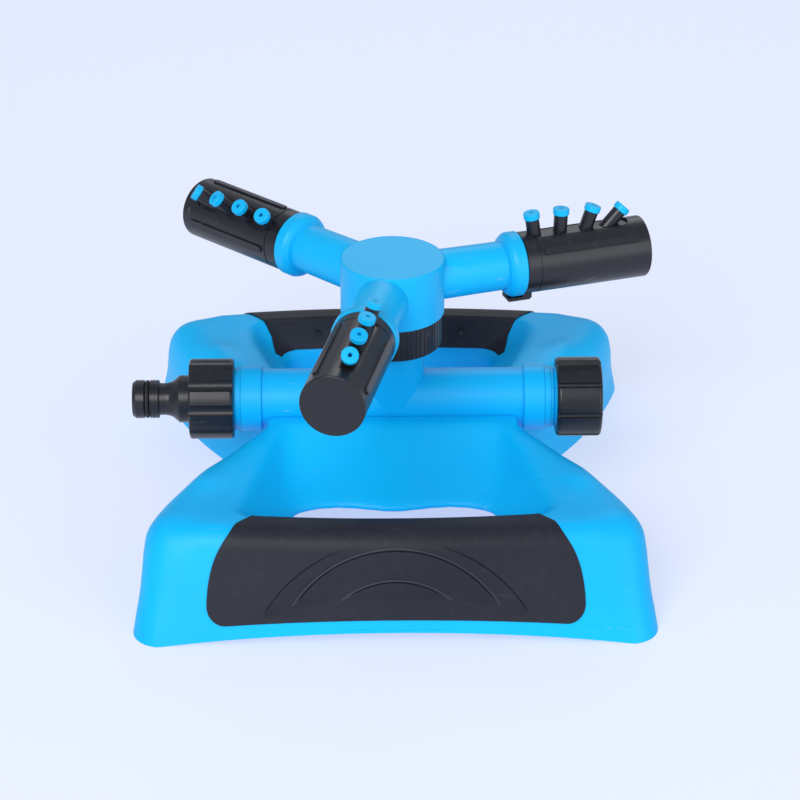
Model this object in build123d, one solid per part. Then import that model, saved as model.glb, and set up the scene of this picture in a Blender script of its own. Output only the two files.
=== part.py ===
from build123d import *
from math import cos, pi, radians, sin, sqrt, tan
import os

# Three-arm rotating garden sprinkler on an H-shaped moulded base.
# Millimetres. X runs along the water pipe with the hose inlet at -X, Y runs from the front wing to
# the rear wing, and Z is up. The origin lies on the ground under the rotor's axis.

# ---- Base: one shell moulding, the same at the front and the rear ----
WALL = 3.0
WAIST_HALF_WIDTH = 53.0
WAIST_HALF_LENGTH = 12.0
SIDE_MID = (87.0, 57.0)
SIDE_END = (104.3, 100.0)
SIDE_DRAFT = radians(1.2)
FRONT_Y = 115.5
FRONT_BOW = 4.0
BOW_GROWTH = 6.0 / 45.5
FRONT_LEAN = 15.5 / 44.3
WING_CORNER_RADIUS = 12.0
RIM_HEIGHT = 44.5
SADDLE_HEIGHT = 48.0
RIM_ROUND = 10.0
LIP_ROUND = 2.0
LOFT_TOP = 56.0
ARCH_HEIGHT = 6.5
ARCH_HALF_SPAN = 94.0

# Scoop between the saddle and the handle bar, with the hand hole at its bottom
SCOOP_TOP_Z = 50.0
SCOOP_LOW_Z = 28.5
SCOOP_NEAR_Y = 16.0
HOLE_NEAR_Y = 53.0
HOLE_FAR_Y = 80.0
HOLE_HALF_LENGTH = 46.0
SCALLOP = 3.0
BAR_INNER_WALL_BOTTOM = 9.0

# ---- Soft grips over the two handle bars ----
GRIP_PROUD = 0.5
GRIP_DEPTH = 1.6
GRIP_HALF_WIDTH = 74.0
GRIP_CREST_HALF_WIDTH = 67.0
GRIP_INNER_HALF_WIDTH = 51.0
GRIP_LOW_Z = 8.0
GRIP_ARCH = 3.5
GRIP_INNER_LOW_Z = 31.0
GRIP_CORNER_RADIUS = 7.0
PIN_X = 32.0
PIN_Z = 37.5
PIN_RADIUS = 1.4

# ---- Water pipe ----
PIPE_Z = 50.0
PIPE_RADIUS = 12.4
PIPE_BORE = 8.5
COLLAR_START = 54.4
COLLAR_END = 63.5
COLLAR_RADIUS = 13.7
STEP_END = 65.8
STEP_RADIUS = 13.0
NECK_END = 78.5
NECK_RADIUS = 12.6
THREAD_DEPTH = 0.6
THREAD_PITCH = 1.814
RISER_RADIUS = 13.2
RISER_SHOULDER_Z = 77.0
RISER_TOP_Z = 86.0
TROUGH_CLEARANCE = 0.3
PEG_X = 30.0
PEG_RADIUS = 4.5
SCREW_RADIUS = 1.7
RUNNING = 0.06

# ---- Inlet: union nut and hose nipple ----
NUT_IN = 66.4
NUT_OUT = 84.8
NUT_RADIUS = 16.9
NUT_RIBS = 10
NUT_RIB_DEPTH = 1.2
WASHER_THICK = 1.7
FLANGE_THICK = 2.0
FLANGE_RADIUS = 11.8
NIPPLE_COLLAR_RADIUS = 9.9
NIPPLE_COLLAR_END = 90.3
NIPPLE_NECK_RADIUS = 6.7
NIPPLE_HEAD_RADIUS = 8.0
NIPPLE_HEAD_START = 97.6
NIPPLE_BORE = 4.6
O_RING_SEAT = 102.6
O_RING_RADIUS = 1.0

# ---- End cap ----
CAP_IN = 68.4
CAP_OUT = 87.2
CAP_RADIUS = 16.6
CAP_LOBES = 8
CAP_WASHER_THICK = 1.8

# ---- Swivel ----
SWIVEL_NUT_LOW = 77.3
SWIVEL_NUT_HIGH = 91.0
SWIVEL_NUT_RADIUS = 20.5
SWIVEL_KNURLS = 60
SPINDLE_RADIUS = 9.3
SPINDLE_FLANGE_RADIUS = 12.0
SPINDLE_TAIL_RADIUS = 8.4
SPINDLE_BORE = 5.5
SPINDLE_TAIL_LOW = 72.0
SPINDLE_TOP = 97.0
THRUST_THICK = 0.8

# ---- Rotor ----
HUB_RADIUS = 21.4
HUB_LOW = 91.4
HUB_HIGH = 115.0
ARM_Z = 104.3
ARM_RADIUS = 10.2
ARM_ROOT_RADIUS = 10.5
ARM_BORE = 6.5
ARM_COLLAR_RADIUS = 13.5
ARM_COLLAR_START = 47.5
ARM_COLLAR_END = 55.0
SPIGOT_RADIUS = 8.5
SPIGOT_END = 66.0
ARMS = {"right": (17.3, 3.0), "left": (137.3, 42.0), "front": (257.3, 16.0)}

# ---- Nozzle barrels ----
BARREL_START = 55.4
BARREL_END = 108.4
PLUG_END = 110.0
BARREL_RADIUS = 12.9
BARREL_CAVITY = 10.9
NOZZLES = [(62.0, -8.0), (73.5, 3.0), (85.0, 20.0), (95.0, 44.0)]
STUB_RADIUS = 2.9
STUB_BORE = 1.9
STUB_TOP = 7.2
TIP_RADIUS = 3.4
TIP_HEIGHT = 2.8
TIP_HOLE = 0.9
CHANNEL_WIDTH = 8.6
CHANNEL_FLOOR = 11.9
RIB_ANGLE = 53.0
RIB_WIDTH = 3.0
TAB_WIDTH = 8.0

os.makedirs("parts", exist_ok=True)


def save(name, shape):
    """Writes one sub-part to its own STEP file."""
    export_step(shape, f"parts/{name}.step")


def turned(profile, axis):
    """Solid of revolution from a list of (position along the axis, radius) points."""
    if axis == Axis.X:
        sketch = Plane.XZ * make_face(Polyline(*profile, close=True))
    else:
        sketch = Plane.XZ * make_face(Polyline(*[(r, z) for z, r in profile], close=True))
    return revolve(sketch, axis=axis)


def tube_x(x0, x1, radius, y=0.0, z=0.0):
    """Cylinder along X from x0 to x1."""
    solid = Cylinder(radius, abs(x1 - x0), rotation=(0, 90, 0))
    return Pos((x0 + x1) / 2, y, z) * solid


def tube_z(z0, z1, radius, x=0.0, y=0.0):
    """Cylinder along Z from z0 to z1."""
    return Pos(x, y, (z0 + z1) / 2) * Cylinder(radius, abs(z1 - z0))


def ring_z(z0, z1, outer, inner):
    """Flat ring about the Z axis."""
    return tube_z(z0, z1, outer) - tube_z(z0 - 1, z1 + 1, inner)


# ================= Base =================


def circle_through(a, b, c):
    """Centre and radius of the circle through three points."""
    d = 2 * (a[0] * (b[1] - c[1]) + b[0] * (c[1] - a[1]) + c[0] * (a[1] - b[1]))
    sa, sb, sc = (p[0] ** 2 + p[1] ** 2 for p in (a, b, c))
    x = (sa * (b[1] - c[1]) + sb * (c[1] - a[1]) + sc * (a[1] - b[1])) / d
    y = (sa * (c[0] - b[0]) + sb * (a[0] - c[0]) + sc * (b[0] - a[0])) / d
    return x, y, sqrt((a[0] - x) ** 2 + (a[1] - y) ** 2)


SWEEP_X, SWEEP_Y, SWEEP_RADIUS = circle_through((WAIST_HALF_WIDTH, WAIST_HALF_LENGTH), SIDE_MID, SIDE_END)


def side_x(y, inset):
    """Half width of the wing's swept side at y, moved inwards by inset."""
    return SWEEP_X + sqrt((SWEEP_RADIUS - inset) ** 2 - (y - SWEEP_Y) ** 2)


def wing_section(z, inset):
    """Plan outline of one wing at height z, moved inwards by inset."""
    side_inset = inset + z * tan(SIDE_DRAFT)
    front = FRONT_Y - inset - z * FRONT_LEAN
    waist = side_x(WAIST_HALF_LENGTH, side_inset)
    end_y = front - FRONT_BOW - z * BOW_GROWTH
    end_x = side_x(end_y, side_inset)
    mid_y = (WAIST_HALF_LENGTH + end_y) / 2
    mid_x = side_x(mid_y, side_inset)
    waist_y = WAIST_HALF_LENGTH - inset
    right = [Line((waist, 0), (waist, waist_y))]
    right += [ThreePointArc((waist, waist_y), (mid_x, mid_y), (end_x, end_y))]
    bow = ThreePointArc((end_x, end_y), (0, front), (-end_x, end_y))
    left = [ThreePointArc((-end_x, end_y), (-mid_x, mid_y), (-waist, waist_y))]
    left += [Line((-waist, waist_y), (-waist, 0)), Line((-waist, 0), (waist, 0))]
    face = make_face([*right, bow, *left])
    corners = face.vertices().sort_by(Axis.Y)[-2:]
    return Pos(0, 0, z) * fillet(corners, WING_CORNER_RADIUS - inset)


def wing_block(inset):
    """One wing and its half of the saddle as a solid block with a rounded rim."""
    block = loft([wing_section(-2.0, inset), wing_section(LOFT_TOP, inset)], ruled=True)
    top = RIM_HEIGHT - inset
    saddle = SADDLE_HEIGHT - inset
    ridge = Spline((-1, saddle), (18, saddle - 0.2), (45, top), (130, top), tangents=((1, 0), (1, 0)))
    sky = Polyline((130, top), (130, 80), (-1, 80), (-1, saddle))
    above = make_face([ridge, sky])
    block -= extrude(Plane.YZ * above, 130, both=True)
    return fillet([e for e in block.edges() if is_rim(e)], RIM_ROUND - inset)


def is_rim(edge):
    """True for the edges around the top of a wing block, outside the saddle."""
    return edge.center().Z > 30 and edge.center().Y > 14 and edge.bounding_box().size.Z < 6


def scoop_section(z, near_y, near_half, far_y, far_half, scallop, grow):
    """Closed outline of the scoop at height z, grown outwards by grow."""
    near = near_y - grow
    half = near_half + grow
    far = far_y + grow
    wide = far_half + grow
    wave = [(-half, near + scallop), (-half / 2, near - scallop / 2), (0, near + scallop / 2)]
    wave += [(half / 2, near - scallop / 2), (half, near + scallop)]
    near_edge = Spline(*wave)
    side_mid = ((half + wide) / 2 + 1.5, (near + far) / 2)
    right = ThreePointArc((half, near + scallop), side_mid, (wide, far))
    far_edge = ThreePointArc((wide, far), (0, far + 2.0 + max(z - SCOOP_LOW_Z, 0) * 0.13), (-wide, far))
    left = ThreePointArc((-wide, far), (-side_mid[0], side_mid[1]), (-half, near + scallop))
    face = make_face([near_edge, right, far_edge, left])
    by_y = face.vertices().sort_by(Axis.Y)
    face = fillet(by_y[:2], 6.0 + grow)
    return Pos(0, 0, z - grow) * fillet(face.vertices().sort_by(Axis.Y)[-2:], 9.0 + grow)


def hole_section(grow):
    """Outline of the hand hole at the bottom of the scoop, grown outwards by grow."""
    near_half = HOLE_HALF_LENGTH - 7
    return scoop_section(SCOOP_LOW_Z, HOLE_NEAR_Y, near_half, HOLE_FAR_Y, HOLE_HALF_LENGTH, SCALLOP, grow)


def scoop(grow):
    """Cutter of the finger scoop: a concave ramp down from the saddle to the hand hole."""
    low = hole_section(grow)
    middle = scoop_section(34.5, 38.0, 43.0, 82.0, 56.0, SCALLOP / 3, grow)
    high = scoop_section(SCOOP_TOP_Z, SCOOP_NEAR_Y, 44.0, 86.0, 70.0, 0.01, grow)
    return loft([low, middle, high])


def hand_hole(bottom):
    """Vertical cutter below the scoop, through the shell to the given height."""
    return extrude(hole_section(0), bottom - SCOOP_LOW_Z)


def wing_form(inset):
    """One wing with its scoop, as a solid whose surface lies inset inside the outer surface."""
    block = wing_block(inset)
    cutter = scoop(inset)
    solid = block - cutter
    if inset > 0:
        return solid
    lip = [e for e in new_edges(block, cutter, combined=solid) if e.bounding_box().min.Z > RIM_HEIGHT - 4]
    return fillet(lip, LIP_ROUND)


def both_wings(solid):
    """The solid for the rear wing together with its mirror image at the front."""
    return solid + mirror(solid, about=Plane.XZ)


def front_arch():
    """Cutter that lifts the middle of the rear wing's outer bottom edge clear of the ground."""
    arc = ThreePointArc((-ARCH_HALF_SPAN, 0), (0, ARCH_HEIGHT), (ARCH_HALF_SPAN, 0))
    low = Polyline((ARCH_HALF_SPAN, 0), (ARCH_HALF_SPAN, -5), (-ARCH_HALF_SPAN, -5), (-ARCH_HALF_SPAN, 0))
    return Pos(0, FRONT_Y, 0) * extrude(Plane.XZ * make_face([arc, low]), 14, both=True)


def bar_inner_wall():
    """Wall on the inner side of the handle bar, from the scoop down towards the ground."""
    drop = BAR_INNER_WALL_BOTTOM - SCOOP_LOW_Z
    wall = extrude(Pos(0, 0, WALL) * hole_section(WALL), drop)
    wall -= extrude(hole_section(0), 2 * drop, both=True)
    keep = Pos(0, HOLE_FAR_Y + 5, 0) * Box(150, 2 * HOLE_FAR_Y - 2 * HOLE_NEAR_Y - 12, 100)
    return wall & keep


def grip_zone():
    """Space over the rear handle bar that its grip covers."""
    half = GRIP_HALF_WIDTH
    low = GRIP_LOW_Z
    side = [(half - 18.0, RIM_HEIGHT + 3), (half - 5.5, RIM_HEIGHT - 7), (half - 1.2, 27.0), (half, low)]
    edge = Spline(*side)
    other = Spline(*[(-x, z) for x, z in reversed(side)])
    bottom = ThreePointArc((half, low), (0, low + GRIP_ARCH), (-half, low))
    front = make_face([edge, bottom, other, Line((-side[0][0], side[0][1]), side[0])])
    front = fillet(front.vertices().sort_by(Axis.Y)[:2], GRIP_CORNER_RADIUS)
    from_front = Pos(0, 100, 0) * extrude(Plane.XZ * front, 40, both=True)
    crest = FRONT_Y - RIM_HEIGHT * FRONT_LEAN - 4
    inner = GRIP_INNER_HALF_WIDTH
    outline = [(inner, 74), (inner + 2, 82), (GRIP_CREST_HALF_WIDTH, crest), (90, crest + 2), (90, 130)]
    outline += [(-x, y) for x, y in reversed(outline)]
    from_above = extrude(make_face(Polyline(*outline, close=True)), 60)
    below = Pos(0, crest - 30, GRIP_INNER_LOW_Z - 30) * Box(200, 60, 60)
    return (from_front & from_above) - below


def make_base():
    """The base shell, with a recess under each grip, the pipe trough and the holes for the pipe's pegs."""
    shell = wing_form(0) - wing_form(WALL) - hand_hole(-5)
    shell += bar_inner_wall()
    recess = grip_zone() & (wing_form(0) - wing_form(GRIP_DEPTH))
    shell -= recess
    shell -= front_arch()
    shell = both_wings(shell)
    ground = Pos(0, 0, -25) * Box(300, 300, 50)
    trough_radius = PIPE_RADIUS + TROUGH_CLEARANCE
    liner = tube_x(-WAIST_HALF_WIDTH + 4, WAIST_HALF_WIDTH - 4, trough_radius + WALL, z=PIPE_Z)
    liner &= Pos(0, 0, PIPE_Z - 32) * Box(200, 60, 60)
    shell += liner
    shell -= tube_x(-150, 150, trough_radius, z=PIPE_Z)
    for x in (-PEG_X, PEG_X):
        shell -= tube_z(0, PIPE_Z, PEG_RADIUS + TROUGH_CLEARANCE, x=x)
    for x in (-PIN_X, PIN_X):
        for side in (-1, 1):
            shell -= pin_hole(x, side)
    return shell - ground


def pin_hole(x, side):
    """Hole of a grip pin, along Y through the inner side of a handle bar."""
    hole = Cylinder(PIN_RADIUS, 10, rotation=(90, 0, 0))
    return Pos(x, side * (HOLE_FAR_Y + 4), PIN_Z) * hole


def make_grip():
    """Rear grip: a skin that stands proud of the base and fills its recess."""
    skin = wing_form(-GRIP_PROUD) - wing_form(GRIP_DEPTH)
    grip = skin & grip_zone()
    for x in (-PIN_X, PIN_X):
        grip -= pin_hole(x, 1)
    return grip


# ================= Water pipe and what closes it =================


def thread_profile(start, end, step):
    """Profile points of a neck cut with rings at the thread's pitch, from start to end along the axis."""
    points = []
    count = int((end - start - 2.0) / THREAD_PITCH)
    for k in range(count):
        x = start + 1.2 + k * THREAD_PITCH
        points += [(x, NECK_RADIUS), (x + 0.45, NECK_RADIUS - THREAD_DEPTH), (x + 0.9, NECK_RADIUS)]
    return [(step * x, r) for x, r in points]


def pipe_half(step):
    """Outer profile of the pipe from its middle to one end; step is +1 for the right end."""
    ends = [(0, PIPE_RADIUS), (COLLAR_START, PIPE_RADIUS), (COLLAR_START + 0.4, COLLAR_RADIUS)]
    ends += [(COLLAR_END - 0.4, COLLAR_RADIUS), (COLLAR_END, STEP_RADIUS), (STEP_END, STEP_RADIUS)]
    ends += [(STEP_END + 0.2, NECK_RADIUS)]
    points = [(step * x, r) for x, r in ends] + thread_profile(STEP_END, NECK_END, step)
    points += [(step * (NECK_END - 0.5), NECK_RADIUS), (step * NECK_END, NECK_RADIUS - 0.5)]
    points += [(step * NECK_END, 0)]
    return Pos(0, 0, PIPE_Z) * turned([*points, (0, 0)], Axis.X)


def make_water_pipe():
    """Tee of the water pipe, with its riser, its necks and the two pegs that sit in the saddle."""
    pipe = pipe_half(1) + pipe_half(-1)
    riser = [(PIPE_Z, 0), (PIPE_Z, RISER_RADIUS), (RISER_SHOULDER_Z, RISER_RADIUS)]
    riser += [(RISER_SHOULDER_Z + 0.2, NECK_RADIUS), (RISER_TOP_Z - 0.5, NECK_RADIUS)]
    riser += [(RISER_TOP_Z, NECK_RADIUS - 0.5), (RISER_TOP_Z, 0)]
    pipe += turned(riser, Axis.Z)
    for x in (-PEG_X, PEG_X):
        pipe += tube_z(PIPE_Z - PIPE_RADIUS - 3.3, PIPE_Z - PIPE_BORE - 0.5, PEG_RADIUS, x=x)
    pipe -= tube_x(-NECK_END - 1, NECK_END + 1, PIPE_BORE, z=PIPE_Z)
    pipe -= tube_z(PIPE_Z, RISER_TOP_Z + 1, PIPE_BORE)
    for x in (-PEG_X, PEG_X):
        pipe -= tube_z(PIPE_Z - PIPE_RADIUS - 4, PIPE_Z - PIPE_BORE - 2.0, SCREW_RADIUS + 0.05, x=x)
    return pipe


def make_screws():
    """Two pan-head screws that pull the pipe's pegs down into the saddle."""
    head_top = PIPE_Z - PIPE_RADIUS - 3.3 - 1.2
    screw = tube_z(head_top - 0.05, PIPE_Z - PIPE_BORE - 2.6, SCREW_RADIUS)
    head = tube_z(head_top - 2.4, head_top, 3.4)
    head = fillet(head.faces().sort_by(Axis.Z)[0].edges(), 1.0)
    slot = Pos(0, 0, head_top - 2.4) * (Box(3.6, 0.9, 2.4) + Box(0.9, 3.6, 2.4))
    screw = screw + head - slot
    return [Pos(x, 0, 0) * screw for x in (-PEG_X, PEG_X)]


def make_screw_washers():
    """Wide washers between the screws and the saddle."""
    top = PIPE_Z - PIPE_RADIUS - 3.3
    washer = ring_z(top - 1.2, top, 7.0, SCREW_RADIUS + 0.2)
    return [Pos(x, 0, 0) * washer for x in (-PEG_X, PEG_X)]


def grip_pins(side):
    """Two pins that fix a grip through the inner side of its bar; side is +1 for the rear."""
    pin = Cylinder(PIN_RADIUS, 3.2, rotation=(90, 0, 0))
    return [Pos(x, side * (HOLE_FAR_Y + 4.9), PIN_Z) * pin for x in (-PIN_X, PIN_X)]


def ribbed(radius, length, count, depth, groove_share, round_radius):
    """Cylinder along Z from 0, with lengthwise grooves that leave count ribs."""
    body = Cylinder(radius, length, align=(Align.CENTER, Align.CENTER, Align.MIN))
    body = fillet(body.edges().filter_by(GeomType.CIRCLE), round_radius)
    width = 2 * pi * radius / count * groove_share
    groove = Pos(radius + width * 0.5 - depth, 0, -1) * Cylinder(
        width * 0.55, length + 2, align=(Align.CENTER, Align.CENTER, Align.MIN)
    )
    for k in range(count):
        body -= Rot(0, 0, 360 * (k + 0.5) / count) * groove
    return body


def make_inlet_nut():
    """Ribbed union nut: threaded over the pipe's left neck, with a shoulder that holds the nipple."""
    length = NUT_OUT - NUT_IN
    nut = ribbed(NUT_RADIUS, length, NUT_RIBS, NUT_RIB_DEPTH, 0.5, 1.2)
    shoulder = NECK_END + WASHER_THICK + FLANGE_THICK - NUT_IN
    nut -= Cylinder(NECK_RADIUS + RUNNING, shoulder, align=(Align.CENTER, Align.CENTER, Align.MIN))
    hole = NIPPLE_COLLAR_RADIUS + 0.1
    nut -= Cylinder(hole, length, align=(Align.CENTER, Align.CENTER, Align.MIN))
    return Pos(-NUT_IN, 0, PIPE_Z) * (Rot(0, -90, 0) * (Rot(0, 0, 10) * nut))


def make_inlet_nipple():
    """Hose nipple: flange, collar, waist and a grooved head that takes the hose connector."""
    back = NECK_END + WASHER_THICK
    front = back + FLANGE_THICK - 0.05
    tip = nipple_tip()
    profile = [(back, NIPPLE_BORE), (back, FLANGE_RADIUS), (front, FLANGE_RADIUS)]
    profile += [(front, NIPPLE_COLLAR_RADIUS), (NIPPLE_COLLAR_END - 1.2, NIPPLE_COLLAR_RADIUS)]
    profile += [(NIPPLE_COLLAR_END, NIPPLE_COLLAR_RADIUS - 1.0)]
    waist = [(NIPPLE_COLLAR_END + 1.4, 7.7), (NIPPLE_COLLAR_END + 3.0, 7.0)]
    waist += [(NIPPLE_COLLAR_END + 4.6, NIPPLE_NECK_RADIUS), (NIPPLE_HEAD_START, NIPPLE_NECK_RADIUS)]
    profile += waist
    profile += [(NIPPLE_HEAD_START, NIPPLE_HEAD_RADIUS - 0.3)]
    profile += [(NIPPLE_HEAD_START + 0.3, NIPPLE_HEAD_RADIUS)]
    seat_in = O_RING_SEAT - 1.25
    seat_out = O_RING_SEAT + 1.25
    floor = NIPPLE_HEAD_RADIUS - 2 * O_RING_RADIUS - 0.05
    for x in (NIPPLE_HEAD_START + 1.4, NIPPLE_HEAD_START + 2.8):
        profile += [(x, NIPPLE_HEAD_RADIUS), (x, NIPPLE_HEAD_RADIUS - 0.3)]
        profile += [(x + 0.4, NIPPLE_HEAD_RADIUS - 0.3), (x + 0.4, NIPPLE_HEAD_RADIUS)]
    profile += [(seat_in, NIPPLE_HEAD_RADIUS), (seat_in, floor)]
    profile += [(seat_out, floor), (seat_out, NIPPLE_HEAD_RADIUS)]
    profile += [(tip - 1.4, NIPPLE_HEAD_RADIUS), (tip, NIPPLE_HEAD_RADIUS - 1.0), (tip, NIPPLE_BORE)]
    return Pos(0, 0, PIPE_Z) * turned([(-x, r) for x, r in profile], Axis.X)


def nipple_tip():
    """Distance of the nipple's tip from the rotor axis: as far left as the right barrel reaches right."""
    azimuth = radians(ARMS["right"][0])
    return PLUG_END * cos(azimuth) + (BARREL_RADIUS - 0.6) * sin(azimuth)


def make_nipple_o_ring():
    """O-ring in the nipple's groove, level with its head as a connector squeezes it."""
    ring = Torus(NIPPLE_HEAD_RADIUS - O_RING_RADIUS - 0.04, O_RING_RADIUS, rotation=(0, 90, 0))
    return Pos(-O_RING_SEAT, 0, PIPE_Z) * ring


def make_inlet_washer():
    """Flat washer between the pipe's left end and the nipple."""
    washer = tube_x(NECK_END, NECK_END + WASHER_THICK, FLANGE_RADIUS)
    washer -= tube_x(NECK_END - 1, NECK_END + 5, NIPPLE_BORE + 2)
    return Pos(0, 0, PIPE_Z) * (Rot(0, 0, 180) * washer)


def make_end_cap():
    """Lobed cap that closes the pipe's right neck."""
    length = CAP_OUT - CAP_IN
    cap = ribbed(CAP_RADIUS, length, CAP_LOBES, 1.1, 0.17, 1.6)
    depth = NECK_END + CAP_WASHER_THICK - CAP_IN
    cap -= Cylinder(NECK_RADIUS + RUNNING, depth, align=(Align.CENTER, Align.CENTER, Align.MIN))
    dish = Pos(0, 0, length - 1.2) * Cylinder(11.5, 5, align=(Align.CENTER, Align.CENTER, Align.MIN))
    cap -= dish
    return Pos(CAP_IN, 0, PIPE_Z) * (Rot(0, 90, 0) * (Rot(0, 0, 22.5 + 1.0) * cap))


def make_end_cap_washer():
    """Sealing disc at the bottom of the end cap."""
    return tube_x(NECK_END, NECK_END + CAP_WASHER_THICK, NECK_RADIUS - 0.4, z=PIPE_Z)


# ================= Swivel and rotor =================


def make_swivel_nut():
    """Knurled nut on the riser that holds the spindle's flange down."""
    length = SWIVEL_NUT_HIGH - SWIVEL_NUT_LOW
    nut = ribbed(SWIVEL_NUT_RADIUS, length, SWIVEL_KNURLS, 0.3, 0.45, 0.7)
    nut = Pos(0, 0, SWIVEL_NUT_LOW) * nut
    chamber_top = RISER_TOP_Z + 2 * THRUST_THICK + 1.6
    nut -= tube_z(SWIVEL_NUT_LOW - 1, chamber_top, NECK_RADIUS + RUNNING)
    return nut - tube_z(SWIVEL_NUT_LOW, SWIVEL_NUT_HIGH + 1, SPINDLE_RADIUS + RUNNING)


def make_spindle():
    """Hollow spindle: a tail in the riser's bore, a flange under the nut and a journal up into the hub."""
    flange_low = RISER_TOP_Z + THRUST_THICK
    flange_high = flange_low + 1.5
    groove = SPINDLE_TAIL_LOW + 4.0
    profile = [(SPINDLE_TAIL_LOW, SPINDLE_BORE), (SPINDLE_TAIL_LOW, SPINDLE_TAIL_RADIUS)]
    profile += [(groove, SPINDLE_TAIL_RADIUS), (groove, SPINDLE_TAIL_RADIUS - 1.6)]
    profile += [(groove + 2.0, SPINDLE_TAIL_RADIUS - 1.6), (groove + 2.0, SPINDLE_TAIL_RADIUS)]
    profile += [(flange_low, SPINDLE_TAIL_RADIUS), (flange_low, SPINDLE_FLANGE_RADIUS)]
    profile += [(flange_high, SPINDLE_FLANGE_RADIUS), (flange_high, SPINDLE_RADIUS)]
    profile += [(SPINDLE_TOP, SPINDLE_RADIUS)]
    profile += [(SPINDLE_TOP, SPINDLE_BORE)]
    return turned(profile, Axis.Z)


def make_spindle_o_ring():
    """O-ring in the groove of the spindle's tail."""
    return Pos(0, 0, SPINDLE_TAIL_LOW + 5.0) * Torus(SPINDLE_TAIL_RADIUS - 0.8, 0.8)


def thrust_washer(low):
    """Thin washer that carries the spindle's flange."""
    return ring_z(low, low + THRUST_THICK - 0.05, SPINDLE_FLANGE_RADIUS, SPINDLE_RADIUS + 0.3)


def make_rotor_hub():
    """Hub with its three arms, collars and spigots, and the water ways inside."""
    hub = tube_z(HUB_LOW, HUB_HIGH, HUB_RADIUS)
    hub = fillet(hub.edges().sort_by(Axis.Z)[-1], 0.9)
    profile = [(0, 0), (0, ARM_ROOT_RADIUS), (HUB_RADIUS + 2, ARM_ROOT_RADIUS - 0.1)]
    profile += [(ARM_COLLAR_START - 6, ARM_RADIUS)]
    profile += [(ARM_COLLAR_START, ARM_RADIUS), (ARM_COLLAR_START + 0.6, ARM_RADIUS + 1.6)]
    profile += [(ARM_COLLAR_START + 1.8, ARM_COLLAR_RADIUS - 0.6)]
    profile += [(ARM_COLLAR_START + 3.0, ARM_COLLAR_RADIUS)]
    profile += [(ARM_COLLAR_END - 0.5, ARM_COLLAR_RADIUS), (ARM_COLLAR_END, ARM_COLLAR_RADIUS - 0.5)]
    groove = SPIGOT_END - 5.0
    profile += [(ARM_COLLAR_END, SPIGOT_RADIUS), (groove, SPIGOT_RADIUS), (groove, SPIGOT_RADIUS - 1.2)]
    profile += [(groove + 1.8, SPIGOT_RADIUS - 1.2), (groove + 1.8, SPIGOT_RADIUS)]
    profile += [(SPIGOT_END - 0.5, SPIGOT_RADIUS), (SPIGOT_END, SPIGOT_RADIUS - 0.5), (SPIGOT_END, 0)]
    arm = turned(profile, Axis.X)
    for azimuth, _ in ARMS.values():
        hub += Pos(0, 0, ARM_Z) * (Rot(0, 0, azimuth) * arm)
    hub -= tube_z(SPINDLE_TOP, HUB_HIGH - 3.5, HUB_RADIUS - 3.5)
    hub -= tube_z(HUB_LOW - 1, SPINDLE_TOP + 1, SPINDLE_RADIUS)
    for azimuth, _ in ARMS.values():
        hub -= Pos(0, 0, ARM_Z) * (Rot(0, 0, azimuth) * tube_x(10, SPIGOT_END + 1, ARM_BORE))
    return hub


def on_arm(name, shape):
    """Moves a shape from the barrel's own frame to its place; there +X is outwards and +Z is the spray."""
    azimuth, roll = ARMS[name]
    return Pos(0, 0, ARM_Z) * (Rot(0, 0, azimuth) * (Rot(-roll, 0, 0) * shape))


def nozzle_frame(number):
    """Frame at the foot of one nozzle stub, with Z along its jet."""
    x, lean = NOZZLES[number]
    return Pos(x, 0, CHANNEL_FLOOR) * Rot(0, lean, 0)


def make_barrel():
    """Nozzle barrel in its own frame."""
    start = BARREL_START
    barrel = tube_x(start, BARREL_END, BARREL_RADIUS)
    step = tube_x(start + 5.2, start + 5.8, BARREL_RADIUS + 1)
    step -= tube_x(start, start + 10, BARREL_RADIUS - 0.25)
    barrel -= step
    channel_length = BARREL_END - start - 9
    channel = Box(channel_length, CHANNEL_WIDTH, 10)
    channel = Pos(start + 4 + channel_length / 2, 0, CHANNEL_FLOOR + 5) * channel
    barrel -= fillet(channel.edges().filter_by(Axis.Z), CHANNEL_WIDTH / 2 - 0.2)
    rib_length = BARREL_END - start - 10.5
    rib = Pos(start + 7.2 + rib_length / 2, 0, BARREL_RADIUS) * Box(rib_length, RIB_WIDTH, 1.5)
    rib = fillet(rib.edges().filter_by(Axis.Z), RIB_WIDTH / 2 - 0.05)
    for angle in (-RIB_ANGLE, RIB_ANGLE):
        barrel += Rot(angle, 0, 0) * rib
    tab = Pos(start - 1.2, 0, -BARREL_RADIUS - 1.7) * Box(9.5, TAB_WIDTH, 1.4)
    tab += Pos(start + 2.2, 0, -BARREL_RADIUS - 0.6) * Box(4.0, TAB_WIDTH, 2.4)
    barrel += tab
    for number in range(len(NOZZLES)):
        stub = Cylinder(STUB_RADIUS, STUB_TOP + 2.5, align=(Align.CENTER, Align.CENTER, Align.MIN))
        barrel += nozzle_frame(number) * (Pos(0, 0, -2.5) * stub)
    barrel -= tube_x(SPIGOT_END + 0.5, BARREL_END + 1, BARREL_CAVITY)
    barrel -= tube_x(start - 1, SPIGOT_END + 1, SPIGOT_RADIUS + RUNNING)
    for number in range(len(NOZZLES)):
        bore = Cylinder(STUB_BORE, STUB_TOP + 12, align=(Align.CENTER, Align.CENTER, Align.MIN))
        barrel -= nozzle_frame(number) * (Pos(0, 0, -4.0) * bore)
    return barrel


def make_barrel_plug():
    """Disc with a spigot that closes the barrel's outer end, in the barrel's frame."""
    disc = tube_x(BARREL_END, PLUG_END, BARREL_RADIUS)
    disc = fillet(disc.edges().sort_by(Axis.X)[-1], 0.6)
    plug = disc + tube_x(BARREL_END - 4, BARREL_END, BARREL_CAVITY)
    return plug - tube_x(BARREL_END - 5, BARREL_END - 0.5, BARREL_CAVITY - 1.6)


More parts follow.
